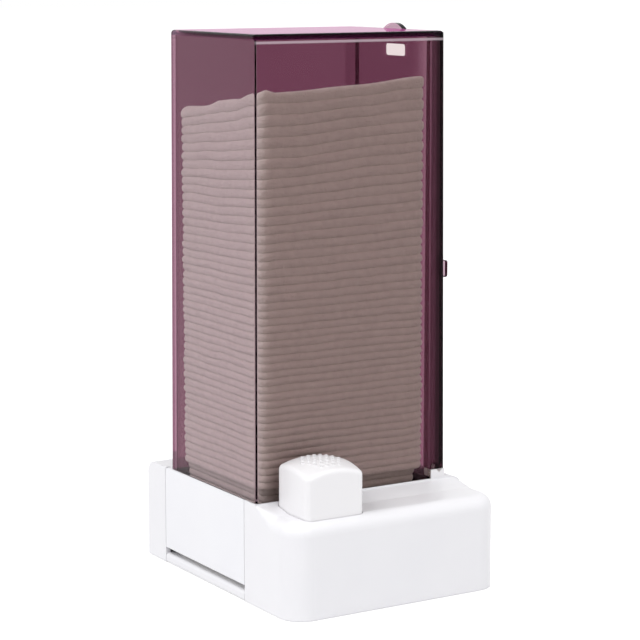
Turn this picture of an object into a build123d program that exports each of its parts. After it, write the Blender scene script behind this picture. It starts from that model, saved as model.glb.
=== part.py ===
from build123d import *
from math import ceil, cos, pi, sin, sqrt
import os

os.makedirs("parts", exist_ok=True)

# Cotton pad dispenser. Millimetres, +Z up, outlet facing -Y, push button on the +X side.
# The origin is on the table, under the middle of the base.

# Base shell
seat_height = 33.5  # plane that the cover stands on
spare = 1.0  # how far a cutting solid runs past the face it cuts
lap = 0.5  # how far two joined solids run into each other
base_wall = 1.8
rim_gap = 0.15  # air under the shell's rim
corner_radius = 8.0
shelf_width = 16.7  # strip of base left of the cover
back_shelf = 6.7  # strip of base behind the cover
edge_round = 4.5
inner_round = 1.0
ledge_drop = 2.1  # ledge below the seat
collar_drop = 0.4  # step beside the cover's foot
collar_width = 0.3
slope_round = 0.4  # front edge beside the collar
panel_pocket = 0.1  # deeper than the front wall, behind the outlet panel
slope_width = 9.0

# Tinted cover
cover_height = 147.2
pad_room_x = 4.5  # inside the cover, beyond the pads' width
pad_room_y = 4.9  # inside the cover, beyond the pads' length
cover_wall = 1.8
cover_draft = 0.87  # each side leans in by this much at the top
cover_corner = 1.2
inner_corner = 0.4
post_sink = 0.02  # posts and foot bar behind the cover's outer faces
cover_front_gap = 0.3
skirt_step = 1.0  # outer part of the wall that rests on the seat
skirt_depth = 4.0
skirt_gap = 0.15
post_width = 4.8
post_depth = 5.6
bead_length = 12.0
bead_height = 0.9
bead_reach = 0.45

# Refill door and its hinge
door_gap = 0.25
door_wall = 1.8
tab_width = 11.2
tab_rise = 1.9
window_width = 13.9
window_height = 4.0
window_drop = 5.0  # below the cover's top
window_corner = 1.0
ear_width = 7.4  # from the cover's side to the ear's inner end
ear_inset = 0.6
ear_height = 5.6
ear_level = 67.0  # lower end above the seat
ear_proud = 1.1
pivot_radius = 1.0
pivot_inset = 2.0  # pivot line in from the cover's back face
pivot_rise = 3.2  # above the seat
pivot_gap = 0.05
barrel_radius = 1.5
bar_height = 0.8
lug_width = 4.5
lug_height = 2.9
lug_gap = 0.15
lug_clearance = 0.1
lug_front_gap = 0.2
bore_gap = 0.2
pin_gap = 0.3

# Push button
button_width = 18.4
button_length = 21.3
button_corner = 2.0
button_rise = 17.0  # crown above the ledge
button_crown = 2.0  # crown above its front and back shoulders
crown_shift = 1.5  # apex towards the cover
button_edge = 1.9
button_wall = 1.4
button_crown_wall = 2.2
button_inset = 1.15  # from the cover's side
button_setback = 6.9  # from the cover's front
button_side = 3.15  # from the base's right side
button_gap = 0.25
flange_reach = 0.8
flange_height = 1.6
dot_radius = 0.55
dot_proud = 0.3
dot_pitch = 2.2
dot_field = 7.4  # radius of the dotted field

# Gears and racks
tooth_module = 0.8
tooth_addendum = 0.7
tooth_dedendum = 1.0
tooth_tip_half = 0.28
tooth_root_half = 0.72
pinion_teeth = 10
gear_floor_gap = 2.3
gear_face = 2.1
pinion_face = 4.6
shaft_radius = 1.5
shaft_gap = 0.05
hub_radius = 2.4
hub_gap = 0.2
shaft_end = 0.5  # past the right cheek
lighten_holes = 5
lighten_rim = 1.75  # solid inside the teeth and around the shaft
rack_plate = 1.5
rack_bar = 2.9  # pusher rack above its teeth
rack_engage = 2.2  # button rack below the gear line
rack_width = 3.6
tongue_gap = 0.05  # behind the button's wall
foot_height = 1.6
running_gap = 0.3
side_gap = 0.4

# Return spring
spring_radius = 3.6
spring_wire = 0.7
spring_turns = 9
spring_boss_radius = 2.4
spring_boss_height = 6.6
spring_cup_wall = 0.8
spring_cup_depth = 2.5
spring_gap = 0.05  # at each end

# Gear bracket
cheek_wall = 1.4
cheek_half = 3.5
bracket_foot = 1.6
bracket_reach = 10.0
bracket_screw_inset = 3.0
bracket_screw_reach = 2.6

# Pusher
post_wall = 1.4
arm_depth = 6.5
pusher_post_depth = 5.0
blade_depth = 8.0
blade_wall = 1.6
rail_width = 1.5
rail_height = 1.9
pusher_foot_width = 3.2
pusher_foot_wall = 1.4
rack_teeth_ahead = 0.9
rack_teeth_behind = 1.2

# Outlet panel, sill and floor
panel_room = 4.5  # wider than the pads
panel_left = 13.0  # from the base's left side
panel_wall = 1.1
panel_gap = 0.2
panel_corner = 2.0
plate_wall = 1.6
plate_rise = 0.8  # underside above the table
plate_gap = 0.2
sill_gap = 0.45
floor_height = 3.3
slot_height = 2.1
sill_round = 1.2

# Magazine chute
chute_wall = 1.4
chute_slack = 0.8  # around the pads at the floor
chute_foot_gap = 0.2  # above the slot's upper edge
chute_tab = 4.6
chute_lip = 1.2  # ledge beside the pads, inside the cover's skirt
chute_tab_wall = 1.4
chute_tab_reach = 10.0
chute_tab_start = 6.0
chute_screw_reach = 6.0

# Cotton pads
pad_width = 49.5
pad_length = 60.0
pad_corner = 5.0
pad_pitch = 2.4
pad_pitch_top = 2.95
pad_gap = 0.3
pad_top_space = 24.4  # above the stack, to the cover's top
pad_loose_depth = 67.0  # looser pads at the top of the stack
bottom_pad_thickness = 1.75
floor_clearance = 0.1
back_tilt_low = 1.0
back_tilt_top = 5.4
side_tilt_top = 6.5
pad_shift_x = -1.4  # middle of the cover to the low pads
pad_shift_y = -1.4
pad_top_shift = 2.1
pad_wall_gap = 0.4

# Screws and feet
screw_radius = 1.1
screw_head_radius = 2.0
screw_head_height = 1.1
screw_gap = 0.03
boss_radius = 2.2
boss_inset = 1.0  # air between a boss and the wall
boss_back = 6.5  # from the base's back
boss_right = 5.7  # from the base's right side
screw_sink = 0.1  # head below the plate's face
small_screw_radius = 0.8
small_head_radius = 1.5
small_head_height = 0.9
button_screw_length = 5.0
button_post_height = 6.0
button_post_wall = 0.9
screw_end_gap = 0.2
rubber_radius = 4.5
rubber_height = 1.2
rubber_inset_x = 12.0
rubber_inset_y = 11.0

# Sizes and places that follow from the values above
cover_width = pad_width + pad_room_x + 2 * cover_wall
cover_depth = cover_wall + pad_length + pad_room_y + post_depth
base_width = shelf_width + cover_width + button_inset + button_width + button_side
base_depth = cover_front_gap + cover_depth + back_shelf
panel_width = pad_width + panel_room
pad_stack_top = cover_height - pad_top_space
pad_loose_from = pad_stack_top - pad_loose_depth
base_left = -base_width / 2
base_right = base_width / 2
base_front = -base_depth / 2
base_back = base_depth / 2
ledge_height = seat_height - ledge_drop
ledge_under = ledge_height - base_wall
cover_left = base_left + shelf_width
cover_right = cover_left + cover_width
cover_front = base_front + cover_front_gap
cover_back = cover_front + cover_depth
cover_top = seat_height + cover_height
cover_middle_x = (cover_left + cover_right) / 2
cover_middle_y = (cover_front + cover_back) / 2
slope_end = cover_right + collar_width + slope_width
plate_top = plate_rise + plate_wall
slot_top = floor_height + slot_height
chute_bottom = slot_top + chute_foot_gap
chute_top = seat_height - skirt_depth - plate_gap
panel_x0 = base_left + panel_left
panel_x1 = panel_x0 + panel_width
panel_back = base_front + panel_wall
bottom_pad_x = (panel_x0 + panel_x1) / 2
chute_front = panel_back + panel_gap / 2 + chute_wall
bottom_pad_front = chute_front + pad_wall_gap
bottom_pad_back = bottom_pad_front + pad_length
bottom_pad_y = (bottom_pad_front + bottom_pad_back) / 2
bottom_pad_z = floor_height + floor_clearance
post_front = cover_back - post_depth
chute_right = cover_middle_x + pad_shift_x + pad_width / 2 + chute_slack
lip_bottom = ledge_under
chute_back = post_front + running_gap
pivot_y = cover_back - pivot_inset
pivot_z = seat_height + pivot_rise
button_left = cover_right + button_inset
button_right = button_left + button_width
button_front = cover_front + button_setback
button_back = button_front + button_length
button_x = (button_left + button_right) / 2
button_y = (button_front + button_back) / 2
button_low = ledge_under - running_gap - flange_height
button_top = ledge_height + button_rise
pinion_radius = tooth_module * pinion_teeth / 2
gear_rack_z = ledge_under - running_gap - rack_bar - tooth_dedendum
gear_room = gear_rack_z - plate_top - gear_floor_gap - tooth_addendum
gear_teeth = round(gear_room / tooth_module)
gear_radius = tooth_module * gear_teeth / 2
gear_height = gear_rack_z - gear_radius
rack_bottom = gear_height - rack_engage
button_travel = rack_bottom - plate_top - running_gap
tooth_pitch = pi * tooth_module
rack_root_y = button_back + rack_plate
gear_y = rack_root_y + tooth_dedendum + pinion_radius
gear_x1 = button_left - running_gap
gear_x0 = gear_x1 - gear_face
pusher_travel = button_travel * gear_radius / pinion_radius
pinion_x0 = button_x - pinion_face / 2
pinion_x1 = button_x + pinion_face / 2
cheek_x0 = gear_x1 + side_gap
cheek_x1 = 2 * button_x - cheek_x0
pusher_x1 = gear_x0 - running_gap
pusher_x0 = pusher_x1 - post_wall
blade_front = bottom_pad_back + floor_clearance
blade_low = floor_height + floor_clearance
blade_top = blade_low + blade_wall
foot_low = button_low - foot_height


def block(x0, x1, y0, y1, z0, z1):
    return Pos((x0 + x1) / 2, (y0 + y1) / 2, (z0 + z1) / 2) * Box(x1 - x0, y1 - y0, z1 - z0)


def upright(x, y, z0, z1, radius):
    return Pos(x, y, (z0 + z1) / 2) * Cylinder(radius, z1 - z0)


def crosswise(x0, x1, y, z, radius):
    return Pos((x0 + x1) / 2, y, z) * Rot(0, 90, 0) * Cylinder(radius, x1 - x0)


def rounded_block(x0, x1, y0, y1, z0, z1, radius):
    plan = Pos((x0 + x1) / 2, (y0 + y1) / 2, z0) * RectangleRounded(x1 - x0, y1 - y0, radius)
    return extrude(plan, amount=z1 - z0, dir=(0, 0, 1))


def side_prism(points, x0, x1):
    """Solid with the given outline of (y, z) points between two X planes."""
    face = Plane.YZ.offset(x0) * make_face(Polyline(*points, close=True))
    return extrude(face, amount=x1 - x0, dir=(1, 0, 0))


def save(shape, name):
    solids = shape.solids()
    whole = solids[0] if len(solids) == 1 else Compound(children=list(solids))
    whole.label = name
    export_step(whole, f"parts/{name}.step")


def nearest_vertex(plan, x, y):
    return plan.vertices().sort_by_distance((x, y, 0))[0]


def plan_outline(inset):
    """Rounded plan of the base, in from its outer faces; the front left corner is sharp."""
    half_width = base_width / 2 - inset
    half_depth = base_depth / 2 - inset
    plan = Rectangle(2 * half_width, 2 * half_depth)
    corners = [(half_width, -half_depth), (half_width, half_depth), (-half_width, half_depth)]
    return fillet([nearest_vertex(plan, x, y) for x, y in corners], corner_radius - inset)


def top_edges(body, x0, x1):
    """Edges of the body's flat top, but for those that lie on the planes at its two ends."""
    top = body.faces().sort_by(Axis.Z)[-1]
    ends = (x0, x1)
    return [edge for edge in top.edges() if not any(on_plane(edge, x) for x in ends)]


def on_plane(edge, x):
    box = edge.bounding_box()
    return abs(box.min.X - x) < 0.01 and abs(box.max.X - x) < 0.01


def seat_block():
    """Left part of the base with a rounded edge at its left and its back."""
    x1 = cover_right + collar_width
    body = extrude(plan_outline(0), amount=seat_height)
    body &= block(base_left - spare, x1, base_front - spare, base_back + spare, rim_gap, seat_height)
    rounded = [edge for edge in top_edges(body, x1, x1) if edge.center().Y > base_front + spare]
    return fillet(rounded, edge_round)


def slope_section(x, height, front_round):
    """Cross-section of the base between the collar and the ledge."""
    face = Plane.YZ.offset(x) * make_face(Polyline(
        (base_front, rim_gap), (base_back, rim_gap), (base_back, height), (base_front, height), close=True,
    ))
    face = fillet(face.vertices().sort_by_distance((x, base_back, height))[0], edge_round)
    return fillet(face.vertices().sort_by_distance((x, base_front, height))[0], front_round)


def ledge_block():
    """Right part of the base with a rounded edge all round its ledge."""
    body = extrude(plan_outline(0), amount=ledge_height)
    right = base_right + spare
    body &= block(slope_end, right, base_front - spare, base_back + spare, rim_gap, ledge_height)
    return fillet(top_edges(body, slope_end, slope_end), edge_round)


def outer_body():
    """Left shelf and seat, the slope beside the collar, and the ledge."""
    low = slope_section(cover_right + collar_width, seat_height - collar_drop, slope_round)
    return seat_block() + loft([low, slope_section(slope_end, ledge_height, edge_round)]) + ledge_block()


def inner_body():
    """The hollow under the shelf, the seat and the ledge."""
    step = cover_right - skirt_step + skirt_gap
    plan = Pos(0, 0, -spare) * plan_outline(base_wall)
    seat = extrude(plan, amount=seat_height - base_wall + spare)
    seat &= block(base_left, step, base_front, base_back, -spare, seat_height)
    rounded = [edge for edge in top_edges(seat, step, step) if edge.center().Y > base_front + 2 * base_wall]
    ledge = extrude(plan, amount=ledge_under + spare)
    ledge &= block(step, base_right, base_front, base_back, -spare, seat_height)
    return fillet(rounded, inner_round) + fillet(top_edges(ledge, step, step), inner_round)


def panel_shape(gap, y0, y1, z0):
    """Outlet panel or its notch: square but for the upper left corner."""
    x0 = panel_x0 - gap
    x1 = panel_x1 + gap
    z1 = seat_height + gap
    face = Plane.XZ * make_face(Polyline((x0, z0), (x1, z0), (x1, z1), (x0, z1), close=True))
    corner = face.vertices().sort_by_distance((x0, 0, z1))[0]
    face = fillet([corner], panel_corner + gap)
    return Pos(0, y0, 0) * extrude(face, amount=y1 - y0, dir=(0, 1, 0))


def boss_places():
    """Four screws that hold the bottom plate to the shell."""
    left = base_left + base_wall + boss_radius + boss_inset
    return [
        (left, base_front + base_wall + boss_radius + boss_inset),
        (left, base_back - boss_back),
        (base_right - boss_right, base_back - boss_back),
        ((pusher_x0 + button_left) / 2, base_front + base_wall + boss_radius + plate_gap),
    ]


def base_shell():
    outer = outer_body()
    shell = outer - inner_body()
    for x, y in boss_places():
        shell += upright(x, y, plate_top, seat_height - edge_round / 4, boss_radius) & outer
    for x, y in boss_places():
        shell -= upright(x, y, 0, ledge_under - base_wall, screw_radius + screw_gap)
    return shell - cover_opening() - button_opening() - outlet_opening()


def cover_opening():
    """Hole for the cover's skirt and a pocket for its right snap bead."""
    inset = skirt_step - skirt_gap
    x1 = cover_right - inset
    hole = block(cover_left + inset, x1, cover_front + inset, chute_back, chute_top, cover_top)
    pocket_x1 = cover_right - skirt_step + bead_reach + skirt_gap
    y0 = cover_middle_y - bead_length
    y1 = cover_middle_y + bead_length / 2
    return hole + block(x1 - skirt_step, pocket_x1, y0, y1, chute_top, bead_level() + skirt_gap)


def button_opening():
    return rounded_block(
        button_left - button_gap, button_right + button_gap, button_front - button_gap,
        button_back + button_gap, ledge_under - spare, cover_top, button_corner + button_gap,
    )


def outlet_opening():
    """Room for the outlet panel, the slot and the chute's front wall behind them."""
    seat_y = panel_back + panel_gap / 2
    back = base_front + base_wall + panel_pocket
    x0 = panel_x0 - panel_gap
    opening = panel_shape(panel_gap, base_front - spare, seat_y, -spare)
    opening += block(x0, cover_right, seat_y, back, -spare, chute_top)
    return opening + block(x0, panel_x1 + panel_gap, base_front - spare, back, -spare, slot_top)


def bead_level():
    """Top of the snap beads, just under the shell's top wall."""
    return seat_height - collar_drop - base_wall - plate_gap


def outlet_panel():
    return panel_shape(0, base_front, panel_back, slot_top)


def bottom_plate():
    inset = base_wall + plate_gap
    plate = extrude(Pos(0, 0, plate_rise) * plan_outline(inset), amount=plate_wall)
    sill = block(panel_x0, panel_x1, base_front, base_front + 4 * sill_round, sill_gap, floor_height)
    front_edges = sill.faces().sort_by(Axis.Y)[0].edges()
    plate += fillet(front_edges.sort_by(Axis.Z)[-1], sill_round)
    floor_x0 = bottom_pad_x - pad_width / 2 - pad_wall_gap
    floor_x1 = bottom_pad_x + pad_width / 2 + pad_wall_gap
    floor_back = blade_front + blade_depth
    plate += block(floor_x0, floor_x1, base_front + 2 * sill_round, floor_back, plate_rise, floor_height)
    spring_boss_top = plate_top + spring_boss_height
    plate += upright(button_x, button_y, plate_top - lap, spring_boss_top, spring_boss_radius)
    for x, y in boss_places():
        plate -= upright(x, y, 0, plate_top + spare, screw_radius + screw_gap)
        plate -= upright(x, y, 0, plate_rise + screw_head_height, screw_head_radius + screw_gap)
    for x, y in rubber_places():
        plate -= upright(x, y, 0, rubber_height, rubber_radius)
    for x, y in bracket_screw_places() + chute_screw_places():
        plate -= upright(x, y, 0, plate_top + spare, small_screw_radius)
    return plate


def rubber_places():
    xs = (base_left + rubber_inset_x, base_right - rubber_inset_x)
    ys = (base_front + rubber_inset_y + sill_round, base_back - rubber_inset_y)
    return [(x, y) for x in xs for y in ys]


def rubber_feet():
    feet = [upright(x, y, 0, rubber_height, rubber_radius) for x, y in rubber_places()]
    return Compound(children=feet)


def bottom_screws():
    screws = []
    for x, y in boss_places():
        screw = upright(x, y, plate_rise + screw_sink, plate_rise + screw_head_height, screw_head_radius)
        screw += upright(x, y, plate_rise + screw_head_height, ledge_under / 2, screw_radius)
        screws.append(screw - upright(x, y, 0, plate_rise + screw_head_height / 2, small_screw_radius))
    return Compound(children=screws)


def tapered_box(inset, z0, z1):
    """Box that follows the cover's leaning faces, in from its outer faces."""
    sections = []
    for z in (z0, z1):
        lean = cover_draft * (z - seat_height) / cover_height
        width = cover_width - 2 * (inset + lean)
        depth = cover_depth - 2 * (inset + lean)
        radius = max(cover_corner - inset, inner_corner)
        sections.append(Pos(cover_middle_x, cover_middle_y, z) * RectangleRounded(width, depth, radius))
    return loft(sections)


def cover():
    body = tapered_box(0, seat_height, cover_top)
    body = fillet(body.faces().sort_by(Axis.Z)[-1].edges(), cover_corner)
    body -= tapered_box(cover_wall, seat_height - spare, cover_top - cover_wall)
    posts = block(cover_left, cover_left + post_width, post_front, cover_back, seat_height, cover_top)
    posts += block(cover_right - post_width, cover_right, post_front, cover_back, seat_height, cover_top)
    bar = block(cover_left, cover_right, post_front, cover_back, seat_height, seat_height + bar_height)
    body += (posts + bar) & tapered_box(post_sink, seat_height, cover_top - lap)
    body -= door_opening()
    body -= lug_pockets()
    body += skirt()
    return body


def door_opening():
    x0 = cover_left + post_width
    x1 = cover_right - post_width
    low = seat_height + bar_height
    back = cover_back + spare
    top_front = cover_back - cover_draft - door_wall - door_gap
    opening = block(x0, x1, post_front - cover_wall, back, low, cover_top - cover_wall)
    return opening + block(x0, x1, top_front, back, low, cover_top + spare)


def lug_pockets():
    """Room at the foot of each post for a white lug and the door's pin."""
    low = seat_height - spare
    high = seat_height + lug_height + lug_gap
    front = post_front - lug_clearance
    back = cover_back + spare
    pockets = block(cover_left - spare, cover_left + post_width, front, back, low, high)
    pockets += block(cover_right - post_width, cover_right + spare, front, back, low, high)
    bore = pivot_radius + bore_gap
    return pockets + crosswise(cover_left + cover_wall, cover_right - cover_wall, pivot_y, pivot_z, bore)


def skirt():
    """Thin lower rim that drops into the base, with snap beads under its top."""
    x0 = cover_left + skirt_step
    x1 = cover_right - skirt_step
    y0 = cover_front + skirt_step
    y1 = chute_back - skirt_gap
    wall = cover_wall - skirt_step
    low = seat_height - skirt_depth
    ring = block(x0, x1, y0, y1, low, seat_height + lap)
    bead_top = bead_level()
    bead_y0 = (y0 + y1 - bead_length) / 2
    for x in (x0, x1):
        ring += block(x - bead_reach, x + bead_reach, bead_y0, bead_y0 + bead_length,
                      bead_top - bead_height, bead_top)
    return ring - block(x0 + wall, x1 - wall, y0 + wall, y1 - wall, low - spare, seat_height + spare)


def door_face_y(z):
    """Back face of the cover at this height."""
    return cover_back - cover_draft * (z - seat_height) / cover_height


def refill_door():
    x0 = cover_left + post_width + door_gap
    x1 = cover_right - post_width - door_gap
    low = pivot_z
    outline = [
        (door_face_y(low), low),
        (door_face_y(cover_top), cover_top),
        (door_face_y(cover_top) - door_wall, cover_top),
        (door_face_y(low) - door_wall, low),
    ]
    door = side_prism(outline, x0, x1)
    door += crosswise(x0, x1, pivot_y, pivot_z, barrel_radius)
    door += thumb_tab()
    middle = (cover_middle_x, cover_back + door_wall, cover_top - window_drop - window_height / 2)
    window = Plane(origin=middle, x_dir=(1, 0, 0), z_dir=(0, -1, 0))
    window = window * RectangleRounded(window_width, window_height, window_corner)
    door -= extrude(window, amount=4 * door_wall, dir=(0, -1, 0))
    for side, edge in ((-1, cover_left), (1, cover_right)):
        ends = sorted((edge - side * ear_inset, edge - side * ear_width))
        door += door_ear(*ends)
        roots = sorted((edge - side * (post_width + door_gap), edge - side * ear_width))
        door += block(*roots, door_face_y(seat_height + ear_level) - door_wall / 2,
                      door_face_y(seat_height + ear_level) + ear_proud / 2,
                      seat_height + ear_level, seat_height + ear_level + ear_height)
    return door


def thumb_tab():
    """Half-round tab that stands up above the cover's top edge."""
    radius = (tab_width ** 2 / 4 + tab_rise ** 2) / (2 * tab_rise)
    back = door_face_y(cover_top)
    disc = Pos(cover_middle_x, back - door_wall / 2, cover_top + tab_rise - radius) * Rot(90, 0, 0)
    disc = disc * Cylinder(radius, door_wall)
    low = cover_top - lap
    return disc & block(cover_left, cover_right, back - door_wall, back, low, cover_top + tab_rise)


def door_ear(x0, x1):
    """Small rounded ear that lies over a post and reaches the door panel."""
    z0 = seat_height + ear_level
    z1 = z0 + ear_height
    face = door_face_y(z0) + lug_clearance
    ear = block(x0, x1, face, face + ear_proud, z0, z1)
    return fillet(ear.edges().filter_by(Axis.X).sort_by(Axis.Y)[-2:], ear_proud * 0.7)


def door_pins():
    reach = door_gap + post_width - cover_wall - pin_gap
    left = cover_left + post_width + door_gap
    right = cover_right - post_width - door_gap
    pins = [crosswise(left - reach, left, pivot_y, pivot_z, pivot_radius)]
    pins.append(crosswise(right, right + reach, pivot_y, pivot_z, pivot_radius))
    return Compound(children=pins)


def hinge_lugs():
    """White blocks on the seat with a vee that carries a pin."""
    lugs = []
    front = post_front + lug_front_gap
    back = cover_back - lug_clearance
    tip = pivot_z - (pivot_radius + pivot_gap) * sqrt(2)
    rise = seat_height + lug_height + spare - tip
    vee = [(pivot_y, tip), (pivot_y + rise, tip + rise), (pivot_y - rise, tip + rise)]
    for x0 in (cover_left + lug_clearance, cover_right - lug_clearance - lug_width):
        lug = block(x0, x0 + lug_width, front, back, seat_height, seat_height + lug_height)
        lugs.append(lug - side_prism(vee, x0, x0 + lug_width))
    return Compound(children=lugs)


def magazine_chute():
    """Slanted well between the cover and the floor."""
    half_low = pad_width / 2 + chute_slack
    left = bottom_pad_x - half_low
    right = bottom_pad_x + half_low
    chute = chute_loft(left, right, chute_wall) - chute_loft(left, right, 0)
    lip_top = lip_bottom + chute_lip
    lip_x1 = cover_right - cover_wall - skirt_gap
    chute += block(chute_right, chute_right + chute_wall, chute_front, lip_back(), chute_top - lap, lip_top)
    chute += block(chute_right, lip_x1, chute_front, lip_back(), lip_bottom, lip_top)
    leg_front = base_front + 4 * sill_round + plate_gap
    leg_end = chute_leg_end()
    tab_top = plate_top + chute_tab_wall
    chute += block(left - chute_wall, left, leg_front, chute_back, plate_top, chute_bottom)
    chute += block(right, right + chute_wall, leg_front, leg_end, plate_top, chute_bottom)
    left_tab = left - chute_wall - chute_tab
    right_tab = right + chute_wall + chute_tab
    chute += block(left_tab, left - chute_wall, -chute_tab_reach, chute_tab_reach, plate_top, tab_top)
    tab_front = chute_front + chute_tab_start
    chute += block(right + chute_wall, right_tab, tab_front, leg_end, plate_top, tab_top)
    for x, y in chute_screw_places():
        chute -= upright(x, y, 0, tab_top + spare, small_screw_radius)
    return chute


def chute_loft(left, right, wall):
    low = chute_section(chute_bottom, left, right, wall)
    return loft([low, chute_section(chute_top, cover_left + cover_wall, chute_right, wall)])


def lip_back():
    return chute_back - skirt_gap - cover_wall


def chute_leg_end():
    """Back end of the right leg, in front of the blade's arm when it is pushed home."""
    return blade_front - pusher_travel - 4 * running_gap


def chute_section(z, x0, x1, wall):
    width = x1 - x0 + 2 * wall
    depth = chute_back - chute_front + 2 * wall
    return Pos((x0 + x1) / 2, (chute_front + chute_back) / 2, z) * Rectangle(width, depth)


def chute_screw_places():
    half_low = pad_width / 2 + chute_slack + chute_wall
    left = bottom_pad_x - half_low - chute_tab / 2
    right = bottom_pad_x + half_low + chute_tab / 2
    return [
        (left, -chute_screw_reach),
        (left, chute_screw_reach),
        (right, chute_leg_end() - chute_screw_reach),
        (right, chute_front + chute_tab_start + chute_screw_reach),
    ]


def small_screws(places, seat):
    screws = []
    for x, y in places:
        screw = upright(x, y, seat, seat + small_head_height, small_head_radius)
        screw += upright(x, y, plate_rise + screw_sink, seat, small_screw_radius)
        screws.append(screw)
    return Compound(children=screws)


def bracket_screw_places():
    y = gear_y + bracket_reach - bracket_screw_inset
    return [(button_x - bracket_screw_reach, y), (button_x + bracket_screw_reach, y)]


def gear_bracket():
    """Two cheeks that carry the gear shaft, on one foot."""
    y0 = gear_y - cheek_half
    y1 = gear_y + cheek_half
    foot_top = plate_top + bracket_foot
    bracket = block(cheek_x0, cheek_x1, gear_y, gear_y + bracket_reach, plate_top, foot_top)
    for x0 in (cheek_x0, cheek_x1 - cheek_wall):
        bracket += block(x0, x0 + cheek_wall, y0, y1, plate_top, gear_height)
        bracket += crosswise(x0, x0 + cheek_wall, gear_y, gear_height, cheek_half)
        rib = [(y1, plate_top), (gear_y + bracket_reach, plate_top), (y1, gear_height)]
        bracket += side_prism(rib, x0, x0 + cheek_wall)
    bracket -= crosswise(cheek_x0, cheek_x1, gear_y, gear_height, shaft_radius + shaft_gap)
    for x, y in bracket_screw_places():
        bracket -= upright(x, y, 0, foot_top + spare, small_screw_radius)
    return bracket


def gear_outline(teeth, phase):
    """Toothed outline: four points for each tooth, its root and its tip."""
    radius = tooth_module * teeth / 2
    points = []
    for index in range(teeth):
        middle = phase + 2 * pi * index / teeth
        for reach, half in ((-tooth_dedendum, -tooth_root_half), (tooth_addendum, -tooth_tip_half),
                            (tooth_addendum, tooth_tip_half), (-tooth_dedendum, tooth_root_half)):
            r = radius + reach
            turn = middle + half / r
            points.append((gear_y + r * cos(turn), gear_height + r * sin(turn)))
    return points


def pinion_gear():
    pinion = side_prism(gear_outline(pinion_teeth, pi + pi / pinion_teeth), pinion_x0, pinion_x1)
    hub_inset = cheek_wall + hub_gap
    pinion += crosswise(cheek_x0 + hub_inset, cheek_x1 - hub_inset, gear_y, gear_height, hub_radius)
    return pinion - crosswise(cheek_x0, cheek_x1, gear_y, gear_height, shaft_radius)


def spur_gear():
    gear = side_prism(gear_outline(gear_teeth, pi / 2 + pi / gear_teeth), gear_x0, gear_x1)
    root = gear_radius - tooth_dedendum
    reach = (root + shaft_radius) / 2
    hole_radius = (root - shaft_radius) / 2 - lighten_rim
    for index in range(lighten_holes):
        turn = 2 * pi * index / lighten_holes
        y = gear_y + reach * cos(turn)
        z = gear_height + reach * sin(turn)
        gear -= crosswise(gear_x0, gear_x1, y, z, hole_radius)
    return gear - crosswise(gear_x0, gear_x1, gear_y, gear_height, shaft_radius)


def gear_shaft():
    return crosswise(gear_x0, cheek_x1 + shaft_end, gear_y, gear_height, shaft_radius)


def rack_points(length_low, length_high, root, direction):
    """Rack outline along its length: back corners first, then the teeth between two ends."""
    points = []
    first = ceil((length_low + tooth_root_half) / tooth_pitch)
    last = int((length_high - tooth_root_half) // tooth_pitch)
    depth = tooth_dedendum + tooth_addendum
    for index in range(first, last + 1):
        middle = index * tooth_pitch
        points.append((middle - tooth_root_half, root))
        points.append((middle - tooth_tip_half, root + direction * depth))
        points.append((middle + tooth_tip_half, root + direction * depth))
        points.append((middle + tooth_root_half, root))
    return points


def button_rack():
    """Toothed tongue behind the button, on a foot plate that closes the button from below."""
    low = rack_bottom - gear_height
    high = button_low - gear_height
    teeth = [(y, gear_height + z) for z, y in rack_points(low, high, rack_root_y, 1)]
    back = button_back + tongue_gap
    outline = [(back, button_low), (back, rack_bottom), (rack_root_y, rack_bottom)]
    outline += teeth + [(rack_root_y, button_low)]
    x0 = button_x - rack_width / 2
    rack = side_prism(outline, x0, x0 + rack_width)
    rack += rounded_block(button_left + side_gap, button_right - side_gap, button_front + side_gap,
                          button_back, foot_low, button_low, button_corner)
    rack += block(x0, x0 + rack_width, button_back - spare, rack_root_y, foot_low, button_low)
    cup_radius = spring_radius + spring_wire + spring_cup_wall
    cup_low = foot_low - spring_cup_depth
    rack += upright(button_x, button_y, cup_low, foot_low, cup_radius)
    rack -= upright(button_x, button_y, cup_low, foot_low, cup_radius - spring_cup_wall)
    for x, y in button_screw_places():
        rack -= upright(x, y, foot_low, button_low, small_screw_radius)
    return rack


def button_screw_places():
    reach = button_length / 2 - button_wall - small_head_radius
    return [(button_x, button_y - reach), (button_x, button_y + reach)]


def button_screws():
    screws = []
    for x, y in button_screw_places():
        screw = upright(x, y, foot_low - small_head_height, foot_low, small_head_radius)
        screw_top = button_low + button_screw_length
        screws.append(screw + upright(x, y, foot_low, screw_top, small_screw_radius))
    return Compound(children=screws)


def crown_radius():
    """Radius of the dome that gives the crown its rise over half the button's length."""
    half = button_length / 2
    return (half ** 2 + button_crown ** 2) / (2 * button_crown)


def crown_dome(depth):
    """Ball under the crown, this far below its surface."""
    radius = crown_radius()
    return Pos(button_x - crown_shift, button_y, button_top - radius - depth) * Sphere(radius)


def push_button():
    body = rounded_block(button_left, button_right, button_front, button_back, button_low, button_top,
                         button_corner)
    body &= crown_dome(0)
    top = [edge for edge in body.edges() if edge.center().Z > ledge_height + button_rise / 2]
    top = [edge for edge in top if abs(edge.tangent_at(0.5).Z) < 0.7]
    body = fillet(top, button_edge)
    flange_top = button_low + flange_height
    body += rounded_block(button_left, button_right + flange_reach, button_front - flange_reach,
                          button_back + flange_reach, button_low, flange_top, button_corner)
    body -= button_hollow()
    for x, y in button_screw_places():
        post_radius = small_screw_radius + button_post_wall
        body += upright(x, y, button_low, button_low + button_post_height, post_radius)
        hole_top = button_low + button_screw_length + screw_end_gap
        body -= upright(x, y, button_low, hole_top, small_screw_radius)
    return body + crown_dots()


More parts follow.
